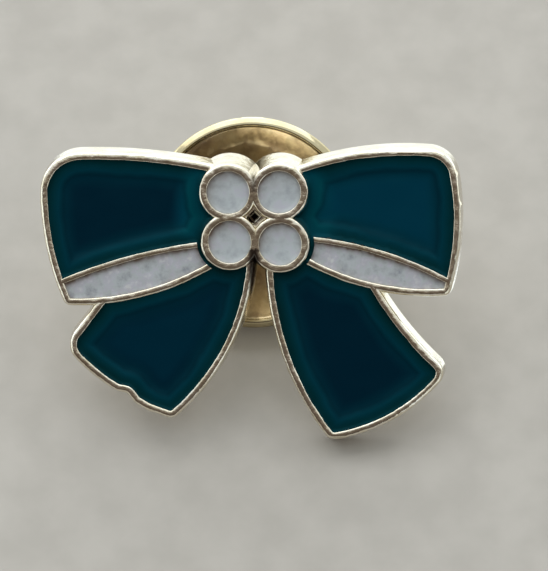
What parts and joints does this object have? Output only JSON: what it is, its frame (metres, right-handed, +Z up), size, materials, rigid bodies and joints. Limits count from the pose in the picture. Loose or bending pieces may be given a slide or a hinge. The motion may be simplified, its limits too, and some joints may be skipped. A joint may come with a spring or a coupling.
{
  "type": "lapel pin",
  "caption": "Lapel pin in the form of a ribbon bow: dark green and cream enamel in a gold-plated casting, with a soldered post and a butterfly clutch that slides off it.",
  "frame": {"origin": "on the surface that the pin lies on, under the middle of its bounding box", "axes": "+X across the bow to its right loop, +Y from the tails to the loops, +Z up; the bow's face slants up and towards -Y"},
  "size_m": [0.0224, 0.0158, 0.0112],
  "materials": {
    "bow_metal": "polished pale gold plate",
    "clutch_metal": "polished brass",
    "green_enamel": "glossy dark green vitreous enamel",
    "cream_enamel": "glossy mottled cream enamel"
  },
  "bodies": {
    "bow": {"bow_casting": "bow_metal", "left_loop_enamel": "green_enamel", "left_band_enamel": "cream_enamel", "left_tail_enamel": "green_enamel", "right_loop_enamel": "green_enamel", "right_band_enamel": "cream_enamel", "right_tail_enamel": "green_enamel", "upper_left_knot_enamel": "cream_enamel", "upper_right_knot_enamel": "cream_enamel", "lower_left_knot_enamel": "cream_enamel", "lower_right_knot_enamel": "cream_enamel"},
    "clutch": {"clutch_plate": "clutch_metal", "clutch_wings": "clutch_metal"}
  },
  "joints": [
    {"name": "clutch_slide", "type": "slide", "parent": "bow", "child": "clutch", "axis": [0, 0.649, -0.7607], "range_m": [0, 0.008]}
  ]
}
